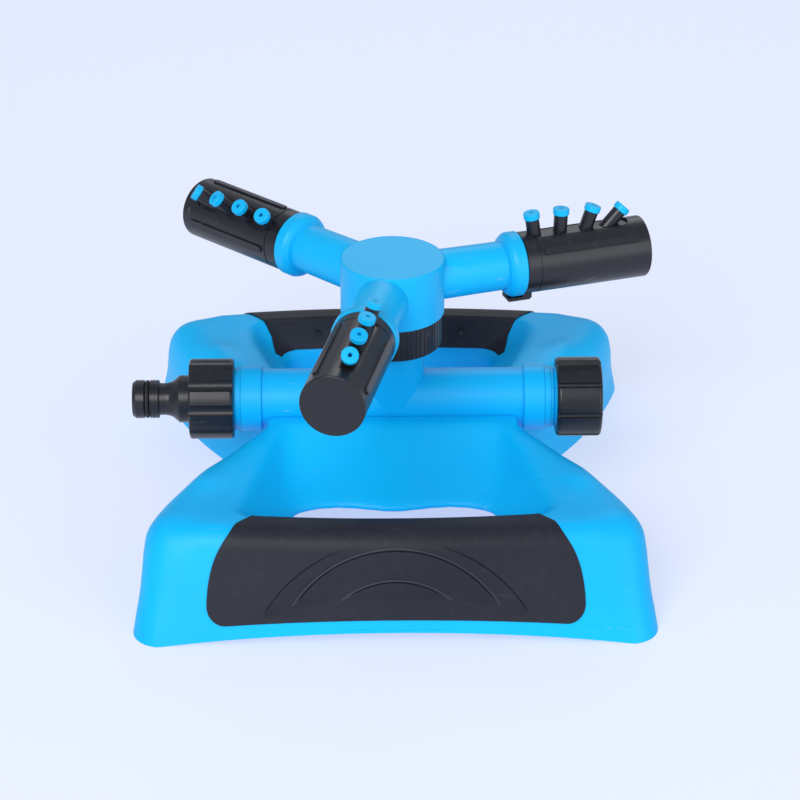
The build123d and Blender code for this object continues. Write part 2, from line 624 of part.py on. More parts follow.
def make_arm_o_ring():
    """O-ring in the spigot's groove, in the barrel's frame."""
    ring = Torus(SPIGOT_RADIUS - 0.6, 0.6, rotation=(0, 90, 0))
    return Pos(SPIGOT_END - 4.1, 0, 0) * ring


def make_tip(number):
    """Nozzle tip pressed into a stub, in the barrel's frame."""
    head = Cylinder(TIP_RADIUS, TIP_HEIGHT, align=(Align.CENTER, Align.CENTER, Align.MIN))
    head = fillet(head.edges().filter_by(GeomType.CIRCLE), 0.5)
    tip = Pos(0, 0, STUB_TOP) * head
    tip += Pos(0, 0, STUB_TOP - 3) * Cylinder(STUB_BORE, 3.5, align=(Align.CENTER, Align.CENTER, Align.MIN))
    tip -= Cylinder(TIP_HOLE, 40)
    return nozzle_frame(number) * tip


def save_all():
    """Builds every sub-part and writes it."""
    save("base", make_base())
    grip = make_grip()
    save("rear_grip", grip)
    save("front_grip", mirror(grip, about=Plane.XZ))
    save("rear_grip_pins", Compound(grip_pins(1)))
    save("front_grip_pins", Compound(grip_pins(-1)))
    save("water_pipe", make_water_pipe())
    save("saddle_screws", Compound(make_screws()))
    save("saddle_washers", Compound(make_screw_washers()))
    save("inlet_nut", make_inlet_nut())
    save("inlet_nipple", make_inlet_nipple())
    save("nipple_o_ring", make_nipple_o_ring())
    save("inlet_washer", make_inlet_washer())
    save("end_cap", make_end_cap())
    save("end_cap_washer", make_end_cap_washer())
    save("swivel_nut", make_swivel_nut())
    save("spindle", make_spindle())
    save("spindle_o_ring", make_spindle_o_ring())
    save("lower_thrust_washer", thrust_washer(RISER_TOP_Z))
    save("upper_thrust_washer", thrust_washer(RISER_TOP_Z + THRUST_THICK + 1.55))
    save("rotor_hub", make_rotor_hub())
    barrel = make_barrel()
    for name in ARMS:
        save(f"{name}_barrel", on_arm(name, barrel))
        save(f"{name}_barrel_plug", on_arm(name, make_barrel_plug()))
        save(f"{name}_arm_o_ring", on_arm(name, make_arm_o_ring()))
        for number in range(len(NOZZLES)):
            save(f"{name}_nozzle_tip_{number + 1}", on_arm(name, make_tip(number)))


save_all()
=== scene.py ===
"""Looks of a three-arm rotating lawn sprinkler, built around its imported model."""

import logging
import math
from collections.abc import Callable
from dataclasses import dataclass, field
from enum import Enum
import bpy
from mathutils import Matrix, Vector


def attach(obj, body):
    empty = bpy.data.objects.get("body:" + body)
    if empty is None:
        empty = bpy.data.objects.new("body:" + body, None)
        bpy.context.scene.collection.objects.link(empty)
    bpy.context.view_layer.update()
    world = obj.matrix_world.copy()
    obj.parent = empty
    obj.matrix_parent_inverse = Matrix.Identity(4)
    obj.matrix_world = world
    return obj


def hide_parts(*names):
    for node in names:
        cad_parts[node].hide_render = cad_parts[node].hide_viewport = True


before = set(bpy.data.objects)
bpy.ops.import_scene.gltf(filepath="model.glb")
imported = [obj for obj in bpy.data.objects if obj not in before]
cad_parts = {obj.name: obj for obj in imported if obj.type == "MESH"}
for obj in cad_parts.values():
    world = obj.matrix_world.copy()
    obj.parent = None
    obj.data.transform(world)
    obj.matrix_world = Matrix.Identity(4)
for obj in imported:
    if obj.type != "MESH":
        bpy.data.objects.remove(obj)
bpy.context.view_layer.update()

LOG = logging.getLogger("sprinkler")
MM = 0.001
MERGE_DISTANCE = 0.002 * MM
GRAPH_COLUMNS = 12
Colour = tuple[float, float, float]

# Radius, crown height and foot height of each arch on a grip, outermost first,
# and the half width over which its crown dies away.
ARCHES: tuple[tuple[float, float, float, float], ...] = (
    (62.0 * MM, 42.0 * MM, 12.0 * MM, 30.0 * MM),
    (48.7 * MM, 38.0 * MM, 16.5 * MM, 0.0),
    (34.4 * MM, 26.2 * MM, 18.7 * MM, 0.0),
)
# Depth along Y at which a grip's outer face begins and is full.
GRIP_FACE = (92.5 * MM, 95.5 * MM)
# Shares of that half width within which the pressed step and the ridge are gone.
STEP_GONE = 0.4
RIDGE_GONE = 0.5


# ---------------------------------------------------------------- hands at work


def deselect() -> None:
    """Clears the selection and the active object."""
    bpy.ops.object.select_all(action="DESELECT")
    bpy.context.view_layer.objects.active = None


def take(piece: bpy.types.Object) -> None:
    """Selects one piece and makes it the active one.

    Args:
        piece: The object to work on.
    """
    deselect()
    piece.select_set(True)
    bpy.context.view_layer.objects.active = piece


def settle(piece: bpy.types.Object) -> None:
    """Applies a piece's modifiers and its place, turn and size to its mesh.

    Args:
        piece: The object to settle at the origin.
    """
    take(piece)
    for modifier in list(piece.modifiers):
        bpy.ops.object.modifier_apply(modifier=modifier.name)
    bpy.ops.object.transform_apply(location=True, rotation=True, scale=True)


def face_outwards(piece: bpy.types.Object) -> None:
    """Merges doubled points of a piece and turns all its faces outwards.

    Args:
        piece: The object whose mesh is cleaned.
    """
    take(piece)
    bpy.ops.object.mode_set(mode="EDIT")
    bpy.ops.mesh.select_all(action="SELECT")
    bpy.ops.mesh.remove_doubles(threshold=MERGE_DISTANCE)
    bpy.ops.mesh.normals_make_consistent(inside=False)
    bpy.ops.object.mode_set(mode="OBJECT")


def soften(piece: bpy.types.Object, degrees: float = 35.0) -> None:
    """Shades a piece smooth across every edge flatter than an angle.

    Args:
        piece: The object to shade.
        degrees: Edges sharper than this stay sharp.
    """
    take(piece)
    bpy.ops.object.shade_smooth_by_angle(angle=math.radians(degrees))


def copy_of_node(node: str, name: str) -> bpy.types.Object:
    """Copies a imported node's mesh into a new piece and merges its loose triangles.

    Args:
        node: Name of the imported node.
        name: Name of the new piece.

    Returns:
        The new piece, smooth shaded, at the origin.
    """
    piece = bpy.data.objects.new(name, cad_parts[node].data.copy())
    bpy.context.scene.collection.objects.link(piece)
    take(piece)
    if piece.data.has_custom_normals:
        bpy.ops.mesh.customdata_custom_splitnormals_clear()
    bpy.ops.object.mode_set(mode="EDIT")
    bpy.ops.mesh.select_all(action="SELECT")
    bpy.ops.mesh.remove_doubles(threshold=MERGE_DISTANCE)
    bpy.ops.object.mode_set(mode="OBJECT")
    soften(piece)
    return piece


def dress(piece: bpy.types.Object, material: bpy.types.Material, body: str) -> None:
    """Gives a new piece its material and the body that it rides on.

    Args:
        piece: The finished piece.
        material: The material that it wears.
        body: The body that it moves with.
    """
    piece.data.materials.clear()
    piece.data.materials.append(material)
    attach(piece, body)
    LOG.info("%s: %d faces, rides on %s", piece.name, len(piece.data.polygons), body)


# ---------------------------------------------------------------- shader groups


@dataclass
class Wiring:
    """Adds nodes to one node tree and joins them.

    Attributes:
        tree: The node tree that is being wired.
        column: How many nodes have been added, which spaces them out.
    """

    tree: bpy.types.NodeTree
    column: int = 0

    def add(self, kind: str, **settings: object) -> bpy.types.Node:
        """Adds a node and sets its own properties.

        Args:
            kind: The node's type name.
            **settings: Properties to set on it.

        Returns:
            The new node.
        """
        node = self.tree.nodes.new(kind)
        node.location = (180 * (self.column % GRAPH_COLUMNS), -220 * (self.column // GRAPH_COLUMNS))
        self.column += 1
        for key, value in settings.items():
            setattr(node, key, value)
        return node

    def feed(self, socket: bpy.types.NodeSocket, source: object) -> None:
        """Joins a source to a socket, or sets the socket to a constant.

        Args:
            socket: The input to feed.
            source: An output socket, a number or a tuple.
        """
        if isinstance(source, bpy.types.NodeSocket):
            self.tree.links.new(source, socket)
        else:
            socket.default_value = source

    def compute(self, operation: str, first: object, second: object = 0.0) -> bpy.types.NodeSocket:
        """Adds a math node.

        Args:
            operation: The operation's name.
            first: First value or socket.
            second: Second value or socket.

        Returns:
            The result.
        """
        node = self.add("ShaderNodeMath", operation=operation)
        self.feed(node.inputs[0], first)
        self.feed(node.inputs[1], second)
        return node.outputs[0]

    def spread(
        self, value: object, low: float, high: float, to_low: float = 0.0, to_high: float = 1.0
    ) -> bpy.types.NodeSocket:
        """Maps a range of values smoothly to another.

        Args:
            value: The value or socket to map.
            low: Value that gives to_low.
            high: Value that gives to_high.
            to_low: Lowest result.
            to_high: Highest result.

        Returns:
            The mapped value.
        """
        node = self.add("ShaderNodeMapRange", interpolation_type="SMOOTHSTEP")
        for number, part in enumerate((value, low, high, to_low, to_high)):
            self.feed(node.inputs[number], part)
        return node.outputs[0]

    def blend(self, share: object, first: object, second: object) -> bpy.types.NodeSocket:
        """Mixes two colours.

        Args:
            share: How much of the second colour shows.
            first: First colour.
            second: Second colour.

        Returns:
            The mixed colour.
        """
        node = self.add("ShaderNodeMix", data_type="RGBA")
        self.feed(node.inputs[0], share)
        self.feed(node.inputs[6], first)
        self.feed(node.inputs[7], second)
        return node.outputs[2]

    def noise(
        self, vector: object, scale: object, detail: float = 3.0, rough: float = 0.55
    ) -> bpy.types.NodeSocket:
        """Adds a noise texture.

        Args:
            vector: Where the noise is read.
            scale: Its size, in cells per metre.
            detail: Its number of octaves.
            rough: How strong the finer octaves are.

        Returns:
            The noise value.
        """
        node = self.add("ShaderNodeTexNoise")
        self.feed(node.inputs["Vector"], vector)
        self.feed(node.inputs["Scale"], scale)
        node.inputs["Detail"].default_value = detail
        node.inputs["Roughness"].default_value = rough
        return node.outputs[0]


@dataclass
class ShaderGroup:
    """A shared surface effect, built once as a node group.

    Attributes:
        name: The group's name.
        inputs: Name, socket type and first value of each input.
        outputs: Names of the outputs.
        tree: The group's node tree.
        wiring: The wiring of that tree.
        entry: The node that holds the group's inputs.
        exit: The node that takes the group's outputs.
    """

    name: str
    inputs: tuple[tuple[str, str, float | None], ...]
    outputs: tuple[str, ...]
    tree: bpy.types.NodeTree = field(init=False)
    wiring: Wiring = field(init=False)
    entry: bpy.types.Node = field(init=False)
    exit: bpy.types.Node = field(init=False)

    def __post_init__(self) -> None:
        """Makes the group's tree with its sockets."""
        self.tree = bpy.data.node_groups.new(self.name, "ShaderNodeTree")
        for name, kind, first in self.inputs:
            socket = self.tree.interface.new_socket(name, in_out="INPUT", socket_type=kind)
            if first is not None:
                socket.default_value = first
        for name in self.outputs:
            self.tree.interface.new_socket(name, in_out="OUTPUT", socket_type="NodeSocketFloat")
        self.wiring = Wiring(self.tree)
        self.entry = self.wiring.add("NodeGroupInput")
        self.exit = self.wiring.add("NodeGroupOutput")

    def place(self, wiring: Wiring, **values: object) -> bpy.types.Node:
        """Puts this group in a material.

        Args:
            wiring: The material's wiring.
            **values: Values or sockets for its inputs.

        Returns:
            The group node.
        """
        node = wiring.add("ShaderNodeGroup", node_tree=self.tree)
        for name, value in values.items():
            wiring.feed(node.inputs[name], value)
        return node


def moulded_grain() -> ShaderGroup:
    """Fine spark-eroded grain of a moulding, with a faint drift of tone.

    Returns:
        The built group.
    """
    group = ShaderGroup(
        "moulded_grain",
        (("Place", "NodeSocketVector", None), ("Scale", "NodeSocketFloat", 1800.0)),
        ("Height", "Tone"),
    )
    wire, entry = group.wiring, group.entry
    fine = wire.noise(entry.outputs["Place"], entry.outputs["Scale"], 4.0, 0.6)
    slow = wire.noise(entry.outputs["Place"], 14.0, 2.0)
    wire.feed(group.exit.inputs["Height"], fine)
    wire.feed(group.exit.inputs["Tone"], wire.spread(slow, 0.35, 0.68))
    return group


def settled_dust() -> ShaderGroup:
    """Sparse dust that settles on upward faces, in flecks and thin patches.

    Returns:
        The built group.
    """
    group = ShaderGroup(
        "settled_dust",
        (("Place", "NodeSocketVector", None), ("Amount", "NodeSocketFloat", 0.2)),
        ("Mask",),
    )
    wire, entry = group.wiring, group.entry
    normal = wire.add("ShaderNodeNewGeometry")
    parts = wire.add("ShaderNodeSeparateXYZ")
    wire.feed(parts.inputs[0], normal.outputs["Normal"])
    upward = wire.spread(parts.outputs["Z"], -0.2, 0.9, 0.15, 1.0)
    flecks = wire.add("ShaderNodeTexVoronoi")
    wire.feed(flecks.inputs["Vector"], entry.outputs["Place"])
    flecks.inputs["Scale"].default_value = 260.0
    dots = wire.spread(flecks.outputs["Distance"], 0.10, 0.03)
    thin = wire.spread(wire.noise(entry.outputs["Place"], 60.0, 3.0), 0.62, 0.72)
    patches = wire.spread(wire.noise(entry.outputs["Place"], 300.0, 4.0), 0.50, 0.75, 0.0, 0.10)
    mask = wire.compute("ADD", wire.compute("MULTIPLY", dots, thin), patches)
    mask = wire.compute("MULTIPLY", mask, upward)
    wire.feed(group.exit.inputs["Mask"], wire.compute("MULTIPLY", mask, entry.outputs["Amount"]))
    return group


def handling_scuffs() -> ShaderGroup:
    """Short hairline scuffs left by handling.

    Returns:
        The built group.
    """
    group = ShaderGroup(
        "handling_scuffs",
        (("Place", "NodeSocketVector", None), ("Amount", "NodeSocketFloat", 0.3)),
        ("Mask",),
    )
    wire, entry = group.wiring, group.entry
    stretch = wire.add("ShaderNodeMapping")
    wire.feed(stretch.inputs["Vector"], entry.outputs["Place"])
    stretch.inputs["Rotation"].default_value = (0.3, 0.5, 0.7)
    stretch.inputs["Scale"].default_value = (1.0, 14.0, 3.0)
    lines = wire.spread(wire.noise(stretch.outputs[0], 55.0, 2.0), 0.66, 0.72)
    where = wire.spread(wire.noise(entry.outputs["Place"], 25.0, 2.0), 0.50, 0.62)
    mask = wire.compute("MULTIPLY", lines, where)
    wire.feed(group.exit.inputs["Mask"], wire.compute("MULTIPLY", mask, entry.outputs["Amount"]))
    return group


def arc_steps() -> ShaderGroup:
    """Three nested arches pressed into the outer face of a grip.

    Returns:
        The built group.
    """
    group = ShaderGroup("arc_steps", (("Place", "NodeSocketVector", None),), ("Height", "Line"))
    wire, entry = group.wiring, group.entry
    parts = wire.add("ShaderNodeSeparateXYZ")
    wire.feed(parts.inputs[0], entry.outputs["Place"])
    outer = wire.spread(wire.compute("ABSOLUTE", parts.outputs["Y"]), *GRIP_FACE)
    height: object = 0.0
    line: object = 0.0
    for radius, crown, foot, gap in ARCHES:
        rise = wire.compute("SUBTRACT", parts.outputs["Z"], crown - radius)
        square = wire.compute("ADD", wire.compute("MULTIPLY", parts.outputs["X"], parts.outputs["X"]),
                          wire.compute("MULTIPLY", rise, rise))
        reach = wire.compute("SUBTRACT", wire.compute("SQRT", square), radius)
        above = wire.compute("MULTIPLY", wire.spread(parts.outputs["Z"], foot, foot + 0.004), outer)
        if gap:
            aside = wire.compute("ABSOLUTE", parts.outputs["X"])
            above = wire.compute("MULTIPLY", above, wire.spread(aside, STEP_GONE * gap, gap))
        step = wire.spread(reach, -0.0009, 0.0, 1.0, 0.0)
        slope = wire.spread(reach, -0.012, -0.0005, 0.0, 1.0)
        pressed = wire.compute("MULTIPLY", wire.compute("MULTIPLY", step, slope), above)
        height = wire.compute("ADD", height, pressed)
        # The line marks each arch's edge; the grip's material darkens it there as painted shade.
        edge = wire.spread(wire.compute("ABSOLUTE", wire.compute("ADD", reach, 0.0002)), 0.0009, 0.0)
        line = wire.compute("ADD", line, wire.compute("MULTIPLY", edge, above))
    wire.feed(group.exit.inputs["Height"], height)
    wire.feed(group.exit.inputs["Line"], line)
    return group


# ---------------------------------------------------------------- finishes


class Slot(Enum):
    """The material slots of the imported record."""

    BASE = "base_plastic"
    PIPE = "pipe_plastic"
    ROTOR = "rotor_plastic"
    NOZZLE = "nozzle_plastic"
    BLACK = "black_plastic"
    GRIP = "grip_rubber"
    SEAL = "seal_rubber"
    SPINDLE = "spindle_plastic"
    SCREW = "screw_steel"


@dataclass(frozen=True)
class Finish:
    """A moulded or machined surface.

    Attributes:
        colour: Its main colour, linear.
        deep: The darker tone that it drifts to.
        roughness: How dull it is.
        specular: Strength of its plain reflection.
        grain_scale: Cells of grain per metre.
        grain_depth: Depth of the grain, in metres.
        dust: Amount of settled dust.
        scuffs: Amount of hairline scuffs.
        metallic: 1 for bare metal.
        arcs: True where the nested arches are pressed in, with painted shade along their edges.
    """

    colour: Colour
    deep: Colour
    roughness: float
    specular: float = 0.5
    grain_scale: float = 1800.0
    grain_depth: float = 0.00003
    dust: float = 0.2
    scuffs: float = 0.3
    metallic: float = 0.0
    arcs: bool = False


RIDGE_FINISH = "grip_ridge"

FINISHES: dict[str, Finish] = {
    Slot.BASE.value: Finish(
        colour=(0.000, 0.490, 0.930), deep=(0.000, 0.450, 0.880),
        roughness=0.42, specular=0.22, grain_scale=2200.0, grain_depth=0.00002,
        dust=0.10, scuffs=0.20,
    ),
    Slot.PIPE.value: Finish(
        colour=(0.002, 0.470, 0.900), deep=(0.001, 0.430, 0.850),
        roughness=0.38, specular=0.24, grain_scale=2400.0, grain_depth=0.00002,
        dust=0.08, scuffs=0.25,
    ),
    Slot.ROTOR.value: Finish(
        colour=(0.003, 0.475, 0.880), deep=(0.002, 0.435, 0.830),
        roughness=0.38, specular=0.24, grain_scale=2400.0, grain_depth=0.00002,
        dust=0.08, scuffs=0.25,
    ),
    Slot.NOZZLE.value: Finish(
        colour=(0.003, 0.490, 0.880), deep=(0.002, 0.440, 0.820),
        roughness=0.38, specular=0.26, grain_scale=3000.0, grain_depth=0.00002,
        dust=0.06, scuffs=0.20,
    ),
    Slot.BLACK.value: Finish(
        colour=(0.013, 0.014, 0.019), deep=(0.009, 0.010, 0.014),
        roughness=0.30, specular=0.42, grain_scale=2600.0, grain_depth=0.00004,
        dust=0.12, scuffs=0.30,
    ),
    Slot.GRIP.value: Finish(
        colour=(0.018, 0.020, 0.029), deep=(0.014, 0.016, 0.024),
        roughness=0.46, specular=0.22, grain_scale=3200.0, grain_depth=0.00006,
        dust=0.12, scuffs=0.05, arcs=True,
    ),
    # Painted highlight: the ridges are the grip's own rubber, coloured lighter so that their raised edges
    # look lit.
    RIDGE_FINISH: Finish(
        colour=(0.034, 0.036, 0.047), deep=(0.030, 0.032, 0.042),
        roughness=0.38, specular=0.34, grain_scale=3200.0, grain_depth=0.00004,
        dust=0.10, scuffs=0.05,
    ),
    Slot.SEAL.value: Finish(
        colour=(0.012, 0.012, 0.014), deep=(0.008, 0.008, 0.010),
        roughness=0.55, specular=0.40, grain_scale=3200.0, grain_depth=0.00003,
        dust=0.10, scuffs=0.10,
    ),
    Slot.SPINDLE.value: Finish(
        colour=(0.62, 0.62, 0.58), deep=(0.50, 0.50, 0.46),
        roughness=0.38, specular=0.45, grain_scale=2400.0, grain_depth=0.00002,
        dust=0.10, scuffs=0.30,
    ),
    Slot.SCREW.value: Finish(
        colour=(0.58, 0.58, 0.60), deep=(0.42, 0.42, 0.44),
        roughness=0.30, specular=0.50, grain_scale=900.0, grain_depth=0.00002,
        dust=0.10, scuffs=0.60, metallic=1.0,
    ),
}


@dataclass
class Workshop:
    """Makes each finish's material once, from the shared shader groups.

    Attributes:
        made: The materials made so far, by name.
        grain: The shared grain.
        dust: The shared dust.
        scuffs: The shared scuffs.
        arcs: The shared arches of the grips.
    """

    made: dict[str, bpy.types.Material] = field(default_factory=dict)
    grain: ShaderGroup = field(default_factory=moulded_grain)
    dust: ShaderGroup = field(default_factory=settled_dust)
    scuffs: ShaderGroup = field(default_factory=handling_scuffs)
    arcs: ShaderGroup = field(default_factory=arc_steps)

    def material(self, name: str, finish: Finish) -> bpy.types.Material:
        """Builds a finish's material, or returns it if it exists.

        Args:
            name: The material's name.
            finish: The finish that it shows.

        Returns:
            The material.
        """
        if name in self.made:
            return self.made[name]
        material = bpy.data.materials.new(name)
        material.use_nodes = True
        material.node_tree.nodes.clear()
        wire = Wiring(material.node_tree)
        out = wire.add("ShaderNodeOutputMaterial")
        shader = wire.add("ShaderNodeBsdfPrincipled")
        place = wire.add("ShaderNodeTexCoord").outputs["Object"]
        grain = self.grain.place(wire, Place=place, Scale=finish.grain_scale)
        dust = self.dust.place(wire, Place=place, Amount=finish.dust)
        scuffs = self.scuffs.place(wire, Place=place, Amount=finish.scuffs)
        tone = wire.blend(grain.outputs["Tone"], (*finish.colour, 1.0), (*finish.deep, 1.0))
        pale = tuple(0.62 * c + 0.20 for c in finish.colour)
        tone = wire.blend(scuffs.outputs["Mask"], tone, (*pale, 1.0))
        tone = wire.blend(dust.outputs["Mask"], tone, (0.62, 0.62, 0.60, 1.0))
        rough = wire.compute("ADD", finish.roughness, wire.compute("MULTIPLY", grain.outputs["Tone"], 0.05))
        rough = wire.compute("ADD", rough, wire.compute("MULTIPLY", scuffs.outputs["Mask"], 0.25))
        rough = wire.compute("ADD", rough, wire.compute("MULTIPLY", dust.outputs["Mask"], 0.35))
        bump = wire.add("ShaderNodeBump")
        bump.inputs["Strength"].default_value = 0.6
        bump.inputs["Distance"].default_value = finish.grain_depth
        wire.feed(bump.inputs["Height"], grain.outputs["Height"])
        if finish.arcs:
            steps = self.arcs.place(wire, Place=place)
            press = wire.add("ShaderNodeBump")
            press.inputs["Strength"].default_value = 1.0
            press.inputs["Distance"].default_value = 0.0009
            wire.feed(press.inputs["Height"], steps.outputs["Height"])
            wire.feed(bump.inputs["Normal"], press.outputs[0])
            # Painted shade: the grip's colour is darkened along the edge line of each pressed arch, where
            # the step falls into shade.
            crease_shade = wire.compute("MULTIPLY", steps.outputs["Line"], 0.20)
            tone = wire.blend(crease_shade, tone, (0.006, 0.006, 0.008, 1.0))
        wire.feed(shader.inputs["Base Color"], tone)
        wire.feed(shader.inputs["Roughness"], rough)
        wire.feed(shader.inputs["Normal"], bump.outputs[0])
        shader.inputs["Metallic"].default_value = finish.metallic
        shader.inputs["Specular IOR Level"].default_value = finish.specular
        wire.feed(out.inputs["Surface"], shader.outputs[0])
        self.made[name] = material
        LOG.info("finish %s made", name)
        return material

    def for_slot(self, slot: str) -> bpy.types.Material:
        """Returns the material of a record slot, or of the ridges.

        Args:
            slot: The name of the slot or finish.

        Returns:
            Its material.
        """
        return self.material(slot, FINISHES[slot])


# ---------------------------------------------------------------- carried-over parts


@dataclass
class CarriedParts:
    """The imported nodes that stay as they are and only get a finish.

    Attributes:
        workshop: Where the materials come from.
    """

    workshop: Workshop

    def dress(self) -> None:
        """Puts each node's procedural material on it."""
        for name, node in sorted(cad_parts.items()):
            for slot in node.material_slots:
                key = slot.material.name.split(".")[0] if slot.material else Slot.BLACK.value
                key = key if key in FINISHES else Slot.BLACK.value
                slot.material = self.workshop.for_slot(key)
            LOG.info("%s dressed", name)


# ---------------------------------------------------------------- base and grips


def weigh(piece: bpy.types.Object, name: str, share: Callable[[Vector], float]) -> str:
    """Makes a vertex group whose weights follow the place of each point.

    Args:
        piece: The object that gets the group.
        name: The group's name.
        share: Gives the weight at a place, from 0 to 1.

    Returns:
        The group's name.
    """
    group = piece.vertex_groups.new(name=name)
    for vertex in piece.data.vertices:
        weight = share(vertex.co)
        if weight > 0.001:
            group.add([vertex.index], min(weight, 1.0), "REPLACE")
    return group.name


def ramp(value: float, low: float, high: float) -> float:
    """Returns how far a value lies from low to high, held between 0 and 1."""
    return max(0.0, min(1.0, (value - low) / (high - low)))


@dataclass
class BaseShell:
    """The moulded base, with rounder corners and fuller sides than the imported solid.

    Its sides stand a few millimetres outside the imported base, whose wings are straighter.
    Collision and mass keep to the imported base.

    Attributes:
        workshop: Where the material comes from.
        voxel: Size of the even mesh that it is worked in.
        corner_start: Half width at which the softening begins.
        corner_full: Half width at which it is full.
        crown: How far the sides of the wings are blown out, at most.
        foot_height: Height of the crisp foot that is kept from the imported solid.
        calm_rounds: Rounds of smoothing after the even mesh is made.
        corner_rounds: Rounds of smoothing at the upper corners.
        scoop_rounds: Rounds of smoothing in the finger scoops.
    """

    workshop: Workshop
    voxel: float = 1.35 * MM
    corner_start: float = 76.0 * MM
    corner_full: float = 84.0 * MM
    crown: float = 4.5 * MM
    foot_height: float = 7.5 * MM
    calm_rounds: int = 4
    corner_rounds: int = 220
    scoop_rounds: int = 50

    def filler(self, node: str, side: float) -> bpy.types.Object:
        """Copies a grip and draws it in, so that it fills the recess below it.

        Args:
            node: The grip's node.
            side: -1 at the front and 1 at the rear.

        Returns:
            The filler.
        """
        piece = copy_of_node(node, f"filler_{node}")
        take(piece)
        bpy.ops.object.mode_set(mode="EDIT")
        bpy.ops.mesh.select_all(action="SELECT")
        bpy.ops.transform.resize(value=(0.996, 0.95, 0.95), center_override=(0.0, side * 95 * MM, 28 * MM))
        bpy.ops.object.mode_set(mode="OBJECT")
        return piece

    def at_corners(self, place: Vector) -> float:
        """Returns how much a point of the wings' upper corners is softened."""
        sideways = ramp(abs(place.x), self.corner_start, self.corner_full)
        return sideways * ramp(place.z, 9 * MM, 30 * MM)

    def on_crowns(self, place: Vector) -> float:
        """Returns how much a point of the wings' sides is blown out, most halfway along a wing.

        Args:
            place: The point.

        Returns:
            The share, from 0 to 1.
        """
        along = ramp(abs(place.y), 30 * MM, 70 * MM) * ramp(110 * MM - abs(place.y), 0.0, 34 * MM)
        start = 64 * MM + 20 * MM * ramp(abs(place.y), 58 * MM, 74 * MM)
        return along * ramp(abs(place.x), start, start + 12 * MM) * ramp(place.z, 10 * MM, 32 * MM)

    def in_scoops(self, place: Vector) -> float:
        """Returns how much a point of the finger scoops and their lips is softened."""
        along = ramp(abs(place.y), 16 * MM, 22 * MM) * ramp(82 * MM - abs(place.y), 0.0, 6 * MM)
        return along * ramp(place.z, 22 * MM, 30 * MM)

    def cut(self, piece: bpy.types.Object, keep_above: bool) -> None:
        """Cuts a piece level just above the ground and closes the cut.

        Args:
            piece: The piece to cut.
            keep_above: True to keep what lies above the cut.
        """
        take(piece)
        bpy.ops.object.mode_set(mode="EDIT")
        bpy.ops.mesh.select_all(action="SELECT")
        bpy.ops.mesh.bisect(
            plane_co=(0.0, 0.0, self.foot_height),
            plane_no=(0.0, 0.0, 1.0),
            use_fill=True,
            clear_inner=keep_above,
            clear_outer=not keep_above,
        )
        bpy.ops.object.mode_set(mode="OBJECT")

    def trueness(self, place: Vector) -> float:
        """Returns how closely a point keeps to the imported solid, which is not at all under a grip.

        Args:
            place: The point.

        Returns:
            The share, from 0 to 1.
        """
        gripped = ramp(80 * MM - abs(place.x), 0.0, 3 * MM) * ramp(abs(place.y), 78 * MM, 80 * MM)
        gripped *= ramp(place.z, 7.6 * MM, 8.6 * MM)
        return (1.0 - gripped) * (1.0 - self.at_corners(place)) * (1.0 - self.in_scoops(place))

    def build(self) -> None:
        """Joins, remeshes, softens and dresses the shell."""
        shell = copy_of_node("base", "base_shell")
        fillers = [self.filler("front_grip", -1.0), self.filler("rear_grip", 1.0)]
        take(shell)
        for piece in fillers:
            piece.select_set(True)
        bpy.ops.object.join()
        even = shell.modifiers.new("even", "REMESH")
        even.mode = "VOXEL"
        even.voxel_size = self.voxel
        even.use_smooth_shade = True
        settle(shell)
        calm = shell.modifiers.new("calm", "SMOOTH")
        calm.factor = 0.5
        calm.iterations = self.calm_rounds
        snap = shell.modifiers.new("snap", "SHRINKWRAP")
        snap.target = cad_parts["base"]
        snap.wrap_method = "NEAREST_SURFACEPOINT"
        snap.vertex_group = weigh(shell, "true", self.trueness)
        blown = shell.modifiers.new("crowns", "DISPLACE")
        blown.strength = self.crown
        blown.mid_level = 0.0
        blown.vertex_group = weigh(shell, "crowns", self.on_crowns)
        for name, rounds, share in (
            ("corners", self.corner_rounds, self.at_corners),
            ("scoops", self.scoop_rounds, self.in_scoops),
        ):
            soft = shell.modifiers.new(name, "SMOOTH")
            soft.factor = 0.5
            soft.iterations = rounds
            soft.vertex_group = weigh(shell, name, share)
        settle(shell)
        shell.vertex_groups.clear()
        take(shell)
        bpy.ops.object.shade_smooth()
        self.cut(shell, keep_above=True)
        foot = copy_of_node("base", "base_foot")
        self.cut(foot, keep_above=False)
        take(shell)
        foot.select_set(True)
        bpy.ops.object.join()
        soften(shell, 45.0)
        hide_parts("base")
        dress(shell, self.workshop.for_slot(Slot.BASE.value), "stand")


